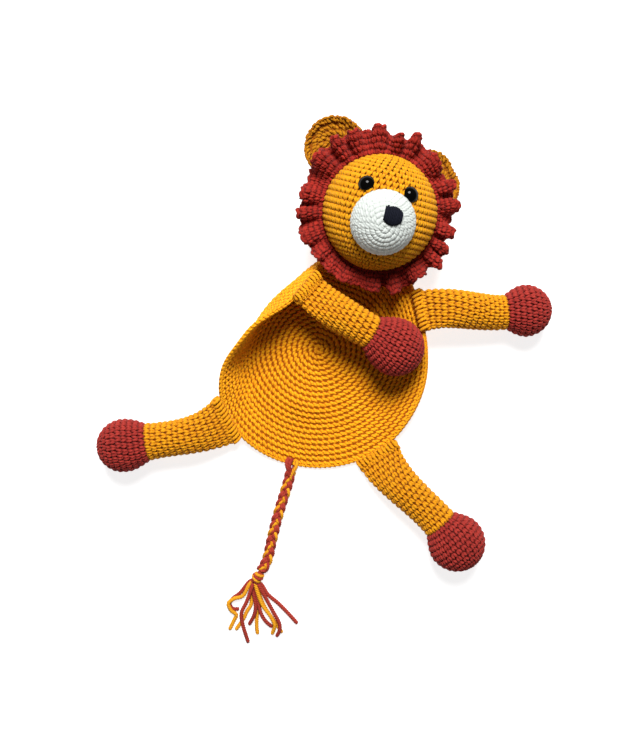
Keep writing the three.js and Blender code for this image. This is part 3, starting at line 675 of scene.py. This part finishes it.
def make_seam(name, limb, blended):
    """Whip stitches over the seam, on the limb's upper and lower side."""
    yarn = Yarn()
    broad = limb.radii(np.array([0.0]))[0][0]
    along = np.arange(-broad + 1, broad - 0.5, 3.3)
    for side in (1, -1):
        face = limb.above * side
        middle = limb.start + limb.line * (along[:, None] + 0.8) + face * 3.7 - limb.ahead * 1.5
        near = limb.start + limb.line * along[:, None] + face * 1.6 - limb.ahead * 5.2
        far = limb.start + limb.line * (along[:, None] + 1.8) + face * 2.0 + limb.ahead * 2.4
        loops(yarn, near, middle, far, np.broadcast_to(face, middle.shape), 1.25)
    blended(yarn.make(f"{name}_seam", SHADED_SLEEVE_YELLOW), "yellow_yarn")


def repaint(node, material):
    node.data.materials.clear()
    node.data.materials.append(material)


# ---- Head ----


def head_direction(azimuth, elevation):
    a, e = math.radians(azimuth), math.radians(elevation)
    return (HEAD_RIGHT * math.sin(a) * math.cos(e) + HEAD_UP * math.sin(e)
            + HEAD_FORWARD * math.cos(a) * math.cos(e))


def head_surface(v, phi):
    """Rounds run level across the face; v is the arc length up from the bottom pole."""
    lift = v / HEAD_RADIUS - math.pi / 2
    flat = HEAD_RIGHT * np.cos(phi)[..., None] - HEAD_FORWARD * np.sin(phi)[..., None]
    return HEAD_CENTRE + HEAD_RADIUS * (flat * np.cos(lift)[..., None] + HEAD_UP * np.sin(lift)[..., None])


MUZZLE_AXIS = head_direction(2.6, -9)
MUZZLE_RADIUS = 23.0
MUZZLE_TIP = 57.0
MUZZLE_BASE = math.sqrt((HEAD_RADIUS + 0.3) ** 2 - MUZZLE_RADIUS ** 2)
MUZZLE_SIDE = square_to(HEAD_RIGHT, MUZZLE_AXIS)
MUZZLE_UP = np.cross(MUZZLE_AXIS, MUZZLE_SIDE)


def muzzle_surface(v, phi):
    """v runs from the base (0) to the tip (1)."""
    turn = np.clip(v, -0.2, 1) * math.pi / 2
    flat = MUZZLE_SIDE * np.cos(phi)[..., None] + MUZZLE_UP * np.sin(phi)[..., None]
    high = MUZZLE_BASE + (MUZZLE_TIP - MUZZLE_BASE) * np.sin(turn)
    return HEAD_CENTRE + flat * (MUZZLE_RADIUS * np.cos(turn))[..., None] + MUZZLE_AXIS * high[..., None]


def make_head():
    half_turn = math.pi * HEAD_RADIUS
    profile = [(v, -1.8) for v in np.linspace(1.5, half_turn - 1.5, 48)]
    points, faces = skin(head_surface, profile, 96)
    cloth = make_object("head_shade_cloth", points, faces, CLOTH["yellow"], "head")
    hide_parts("head_cover")
    yarn = Yarn()
    crochet(yarn, head_surface, rounds(1.2, half_turn - 0.8, 4.6), 4.9)
    yarn.make("head_stitches", SHADED_HEAD_YELLOW, "head")
    repaint(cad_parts["head_stuffing"], STUFFING)
    make_muzzle()
    for name, azimuth, elevation in (("right_eye", -26, 24.5), ("left_eye", 24, 25)):
        make_eye(name, head_direction(azimuth, elevation))
        repaint(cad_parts[f"{name}_washer"], WASHER)
    make_nose()


def make_muzzle():
    profile = [(v, -0.35) for v in np.linspace(-0.06, 0.985, 24)]
    points, faces = skin(muzzle_surface, profile, 72)
    cloth = make_object("muzzle_cloth", points, faces, CLOTH["white"], "head")
    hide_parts("muzzle_cover")
    yarn = Yarn()
    edges = np.linspace(-0.03, 0.985, 11)
    steps = 320
    for k, v in enumerate((edges[:-1] + edges[1:]) / 2):
        table, walked = along_row(muzzle_surface, v)
        stitches = max(int(round(walked[-1] / 4.4)), 4)
        along = np.linspace(0, 1.003, steps)[None]
        bump = np.abs(np.sin(math.pi * stitches * (along + 0.37 * k))) ** 0.5
        across = along * walked[-1]
        # 0.3 + 0.7 * bump is painted shade, darker in the notches between the stitches.
        lay(yarn, muzzle_surface, np.full((1, steps), v), across, -1.6 + 0.1 * bump, table, walked, 1,
            1.95 + 0.4 * bump, 0.3 + 0.7 * bump, 0.5, sides=12)
    yarn.make("muzzle_stitches", WHITE, "head")
    repaint(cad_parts["muzzle_stuffing"], STUFFING)


def make_eye(name, axis):
    """A polished dome, a cap of a sphere, on its shank."""
    side = square_to(HEAD_RIGHT, axis)
    top = np.cross(axis, side)
    rim = HEAD_RADIUS + 0.4
    radius = 6.0
    steepest = math.radians(64)

    def surface(v, phi):
        flat = side * np.cos(phi)[..., None] + top * np.sin(phi)[..., None]
        lean = steepest * (1 - np.clip(v, 0, 1))
        out = np.where(v < 0, radius + v * 1.2, radius * np.sin(lean) / math.sin(steepest))
        dome = radius * (np.cos(lean) - math.cos(steepest)) / math.sin(steepest)
        high = rim + np.where(v < 0, v * 1.6, dome)
        return HEAD_CENTRE + flat * out[..., None] + axis * high[..., None]

    profile = [(v, 0) for v in [-0.9, -0.5, -0.2, 0.01, *np.linspace(0.06, 0.985, 18)]]
    points, faces = skin(surface, profile, 48)
    dome = make_object(f"{name}_dome", points, faces, EYE, "head")
    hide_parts(name)


def make_nose():
    """Parallel threads over a rounded patch on the muzzle's upper half."""
    yarn = Yarn()
    centre = np.array((3.2, 8.7))
    columns = np.linspace(-5.6, 5.6, 11)
    t = np.linspace(0, 1, 9)
    for x in columns:
        reach = 6.0 * math.sqrt(max(1 - (x / 7.0) ** 2, 0.15))
        top = reach + (1.4 if x < -3.4 else 0.0)
        y = top + (-reach - top) * t
        flat = np.stack([centre[0] + x + 0 * t, centre[1] + y], axis=-1)
        yarn.add(*nose_route(flat, 0.5 + 1.5 * np.sin(math.pi * t) ** 0.6), 0.72)
    nose = yarn.make("nose_satin_stitches", NAVY, "head")
    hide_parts("nose")


def nose_route(flat, height):
    """Carries flat millimetres on the muzzle's front to its dome."""
    radius = np.hypot(*flat.T)
    turn = np.arccos(np.clip(radius / MUZZLE_RADIUS, 0, 0.999)) / (math.pi / 2)
    phi = np.arctan2(flat[:, 1], flat[:, 0])
    place, normal = raised(muzzle_surface, turn, phi, height)
    return place[None], normal[None]


# ---- Mane ----

MANE_FOLDS = 21
MANE_WIDTHS = [  # its width at angles round the head, in degrees
    (6, 12.5), (18, 14), (40, 15.5), (49, 10.5), (62, 15), (80, 18.5), (92, 14), (104, 19.5),
    (124, 19), (134, 20.5), (155, 20), (176, 17), (208, 18), (229, 14.5), (266, 14), (283, 14),
    (305, 18), (315, 12), (333, 17.5), (352, 13),
]
MANE_LIFT = 7.0  # where it lies on the right arm and the blanket's edge
MANE_LIFTED_AT = math.radians(243)


def mane_surface(v, phi):
    """v is the distance out from the head, phi the angle round it."""
    out = np.clip(v / 16, 0, 1.2)
    angles, widths = np.transpose(MANE_WIDTHS)
    width = np.interp(np.degrees(phi) % 360, angles, widths, period=360) - 1.6
    resting = np.maximum(np.cos(phi - MANE_LIFTED_AT), 0) ** 2
    loose = 1 - 0.75 * resting ** 3
    fold = MANE_FOLDS * phi + 1.5 * np.sin(3 * phi + 0.7) + 1.1 * np.sin(7 * phi + 2.1)
    depth = (7.0 + 1.8 * np.sin(5 * phi + 1) + 1.6 * np.sin(11 * phi + 2.5)) * loose * out ** 0.8
    lateral = -1.4 * loose * out * np.sin(2 * fold)
    scallop = out ** 4 * (0.7 * np.sin(92 * phi) + 0.5 * np.sin(37 * phi + 1.3))
    reach = HEAD_RADIUS + 0.4 + np.minimum(v, 0) + scallop
    reach = reach + out * (width + 1.3 * loose * np.sin(fold + 0.5) * out)
    angle = phi + lateral / reach
    forward = depth * np.sin(fold) + 2.5 * out + MANE_LIFT * out * resting - 1.0
    return (HEAD_CENTRE + HEAD_RIGHT * (reach * np.cos(angle))[..., None]
            + HEAD_UP * (reach * np.sin(angle))[..., None] + HEAD_FORWARD * forward[..., None])


def make_mane():
    widths = np.linspace(-2.5, 16.2, 9)
    profile = [(w, 0.4) for w in widths] + [(w, -0.4) for w in widths[::-1]]
    points, faces = skin(mane_surface, profile, 440, closed=True)
    cloth = make_object("mane_shade_cloth", points, faces, CLOTH["mane"], "head")
    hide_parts("mane")
    yarn = Yarn()
    edges = rounds(-0.5, 15.2, 3.7)
    for outside in (1, -1):
        crochet(yarn, mane_surface, edges, 3.9, outside, lift=-0.3, rise=1.0, radius=1.22, steps=5,
                jitter=0.24)
    face = yarn.make("mane_stitches", MANE, "head")
    border = Yarn()
    chain(border, mane_surface, 14.2, 17.0, 4.4, 0.2, 1.5)
    edge = border.make("mane_edge_chain", MANE, "head")


# ---- Ears ----

EAR_RADIUS = 23.8
EAR_RISE = 16.4  # of the bowl's middle above its hinge line
EAR_DEPTH = 7.4
EAR_CLEARANCE = 0.6  # of the bowl's lower end above its hinge line
EARS = {"right_ear": dict(around=139, tilt=4, behind=15), "left_ear": dict(around=43, tilt=48, behind=15)}


def make_ear(name, around, tilt, behind):
    angle, lean = math.radians(around), math.radians(tilt)
    outward = HEAD_RIGHT * math.cos(angle) + HEAD_UP * math.sin(angle)
    line = np.cross(HEAD_FORWARD, outward)
    reach = math.sqrt(HEAD_RADIUS ** 2 - (behind - 5) ** 2) + 1.2
    foot = HEAD_CENTRE - HEAD_FORWARD * behind + outward * reach
    rise = outward * math.cos(lean) - HEAD_FORWARD * math.sin(lean)
    front = np.cross(rise, line)
    middle = foot + rise * EAR_RISE

    def bowl(v, phi):
        """v runs from the bottom of the back (0) over the rim (1) to the bottom of the front (2)."""
        back = np.clip(v, 0, 1) * math.pi / 2
        fore = np.clip(v - 1, 0, 1)
        radius = np.where(v <= 1, (EAR_RADIUS - 1) * np.sin(back), (EAR_RADIUS - 1) * (1 - fore))
        inside = -(EAR_DEPTH - 2) * np.sqrt(np.maximum(1 - (1 - fore) ** 2, 0))
        high = np.where(v <= 1, -EAR_DEPTH * np.cos(back), inside)
        high = high + np.where((v > 0.85) & (v < 1.25), 1.8 * np.cos((v - 1.05) / 0.2 * math.pi / 2), 0)
        x, y = radius * np.cos(phi), radius * np.sin(phi)
        y = np.maximum(y, -EAR_RISE + EAR_CLEARANCE)
        return middle + line * x[..., None] + rise * y[..., None] + front * high[..., None]

    profile = [(v, -1.0) for v in np.linspace(0.03, 1.97, 40)]
    points, faces = skin(bowl, profile, 60, outside=-1)
    # The ear's cloth is dark: painted shade in the holes between the stitches.
    cloth = make_object(f"{name}_cloth", points, faces, CLOTH["yellow"], name)
    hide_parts(name)
    yarn = Yarn()
    edges = np.concatenate([np.linspace(0.04, 1.0, 7), np.linspace(1.19, 1.96, 5)])
    ridges(yarn, bowl, edges, 4.9, -1, lift=-1.3, rise=1.5, radius=1.35, slant=0.6, stagger=0.06,
           jitter=0.03)
    yarn.make(f"{name}_stitches", SHADED_EAR_YELLOW, name)


# ---- Neck and tail ----


def make_neck_stitching():
    """Whip stitches from the blanket's edge up to the head's underside."""
    yarn = Yarn()
    x = np.arange(-1, 25, 3.4)
    low = np.stack([x, np.full(len(x), 87.6), np.full(len(x), 4.6)], axis=1)
    top = np.stack([x + 0.8, np.full(len(x), 90.2), np.full(len(x), 6.9)], axis=1)
    high = np.stack([x + 1.6, np.full(len(x), 92.0), np.full(len(x), 9.4)], axis=1)
    normal = np.broadcast_to(np.array((0, -0.6, 0.8)), low.shape)
    loops(yarn, low, top, high, normal, 0.85)
    stitching = yarn.make("neck_whip_stitches", YELLOW, "neck")
    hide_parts("neck_stitching")


def smooth_route(points, count):
    """A Catmull-Rom curve through points, in evenly spaced steps."""
    p = np.array(points, float)
    p = np.vstack([2 * p[0] - p[1], p, 2 * p[-1] - p[-2]])
    t = np.linspace(0, 1, 24, endpoint=False)[:, None]
    parts = []
    for a, b, c, d in zip(p[:-3], p[1:-2], p[2:-1], p[3:]):
        curve = 2 * b + (c - a) * t + (2 * a - 5 * b + 4 * c - d) * t ** 2
        parts.append(0.5 * (curve + (3 * b - a - 3 * c + d) * t ** 3))
    dense = np.vstack([*parts, p[-2:-1]])
    walked = np.concatenate([[0], np.cumsum(np.linalg.norm(np.diff(dense, axis=0), axis=1))])
    even = np.linspace(0, walked[-1], count)
    return np.stack([np.interp(even, walked, dense[:, k]) for k in range(3)], axis=1), walked[-1]


def make_cord(yarn, route, radius, index=0):
    """One length of plied yarn along a route."""
    up = np.broadcast_to(np.array((0, 0, 1.0)), route.shape)
    ends = np.minimum(np.arange(len(route)), np.arange(len(route))[::-1])
    taper = radius * np.clip(0.72 + 0.14 * ends, 0, 1)
    yarn.add(route[None], up[None], taper[None], 12, 1.0, index=index, plies=3, twist=1.1)


def make_braid(route, length):
    """Three strands of two yarns each, woven over and under each other along the route."""
    along = unit(np.gradient(route, axis=0))
    side = unit(np.cross(along, (0, 0, 1)))
    up = np.cross(side, along)
    turn = np.linspace(0.4, length / BRAID_CYCLE * TURN, len(route))
    yarn = Yarn()
    for k, pair in enumerate(((0, 0), (0, 1), (1, 0))):
        a = turn + k * TURN / 3
        strand = route + side * (2.35 * np.sin(a))[:, None] + up * (0.4 + 1.4 * np.sin(2 * a))[:, None]
        tangent = unit(np.gradient(strand, axis=0))
        beside = unit(np.cross(tangent, up))
        for offset, colour in zip((-0.85, 0.85), pair):
            make_cord(yarn, strand + beside * offset, 1.35, colour)
    braid = yarn.make("tail_braid_strands", [TAIL_RED, TAIL_YELLOW], "tail")
    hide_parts("tail_braid")
    return braid


def make_knot(across):
    """Four wraps of yarn round a core."""
    yarn = Yarn()
    third = np.cross(KNOT_AXIS, across)
    angle = np.linspace(0, TURN * 1.08, 40)
    around = across * np.cos(angle)[:, None] + third * np.sin(angle)[:, None]
    for k, (shift, radius, colour) in enumerate(KNOT_WRAPS):
        wobble = shift + 0.9 * np.sin(angle + k)
        make_cord(yarn, KNOT_CENTRE + KNOT_AXIS * wobble[:, None] + around * radius, 1.25, colour)
    core, _ = smooth_route([KNOT_CENTRE - KNOT_AXIS * 5.2, KNOT_CENTRE, KNOT_CENTRE + KNOT_AXIS * 5], 12)
    yarn.add(core[None], np.broadcast_to(across, core.shape)[None], 2.5, 10, 1.0)
    knot = yarn.make("tail_knot_wraps", [TAIL_RED, TAIL_YELLOW], "tail")
    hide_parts("tail_knot")
    return knot


def make_tassel(across):
    """The loose ends beyond the knot: each one's piece, route and length."""
    ends = []
    for i, (colour, *points) in enumerate(TASSEL):
        fan = across * (0.2 * (i - 5))
        route, length = smooth_route([KNOT_CENTRE + KNOT_AXIS * 3.4 + fan, *points], 80)
        yarn = Yarn()
        make_cord(yarn, route, TASSEL_RADIUS)
        name = f"tassel_yarn_{i + 1:02d}"
        material = TAIL_RED if colour == "red" else TAIL_YELLOW
        piece = yarn.make(f"{name}_plied", material, "tail")
        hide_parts(name)
        ends.append((piece, route, length))
    return ends


def make_tail():
    route, length = smooth_route(BRAID_ROUTE, 150)
    braid = make_braid(route, length)
    across = square_to(np.array((0, 0, 1.0)), KNOT_AXIS)
    knot = make_knot(across)
    ends = make_tassel(across)

    anchor = Yarn()
    for colour, strand in ANCHOR:
        loop, _ = smooth_route(strand, 30)
        make_cord(anchor, loop, TASSEL_RADIUS, colour)
    anchor_loops = anchor.make("tail_anchor_loops", [TAIL_RED, TAIL_YELLOW], "blanket")
    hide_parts("tail_anchor")


# ---- Build ----

make_tail()
make_blanket()
for limb_name, limb_shape in LIMBS.items():
    make_limb(limb_name, limb_shape)
make_head()
make_mane()
for ear_name, ear_shape in EARS.items():
    make_ear(ear_name, **ear_shape)
make_neck_stitching()

# ---- Floor and light ----

floor_mesh = bpy.data.meshes.new("floor")
floor_corners = [(x, y, -0.0006) for x, y in ((-3, -3), (3, -3), (3, 3), (-3, 3))]
floor_mesh.from_pydata(floor_corners, [], [(0, 1, 2, 3)])
floor = bpy.data.objects.new("floor", floor_mesh)
bpy.context.collection.objects.link(floor)
floor_material, floor_shader, _, _ = node_material("floor", 0.9)
floor_shader.inputs["Base Color"].default_value = (0.45, 0.45, 0.45, 1)
floor_shader.inputs["Emission Color"].default_value = (1, 1, 1, 1)
floor_shader.inputs["Emission Strength"].default_value = 0.8
floor_mesh.materials.append(floor_material)


key_data = bpy.data.lights.new("key", "AREA")
key_data.shape = "DISK"
key_data.size = 0.6
key_data.energy = 34
key = bpy.data.objects.new("key", key_data)
key.location = (-0.21, 0.69, 1.18)
aim = Vector((0.0, 0.0, 0.02)) - key.location
key.rotation_euler = aim.to_track_quat("-Z", "Y").to_euler()
bpy.context.collection.objects.link(key)

world = bpy.context.scene.world or bpy.data.worlds.new("world")
bpy.context.scene.world = world
world.use_nodes = True
background = world.node_tree.nodes["Background"]
background.inputs["Color"].default_value = (1, 1, 1, 1)
background.inputs["Strength"].default_value = 0.15
bpy.context.scene.view_settings.view_transform = "Standard"
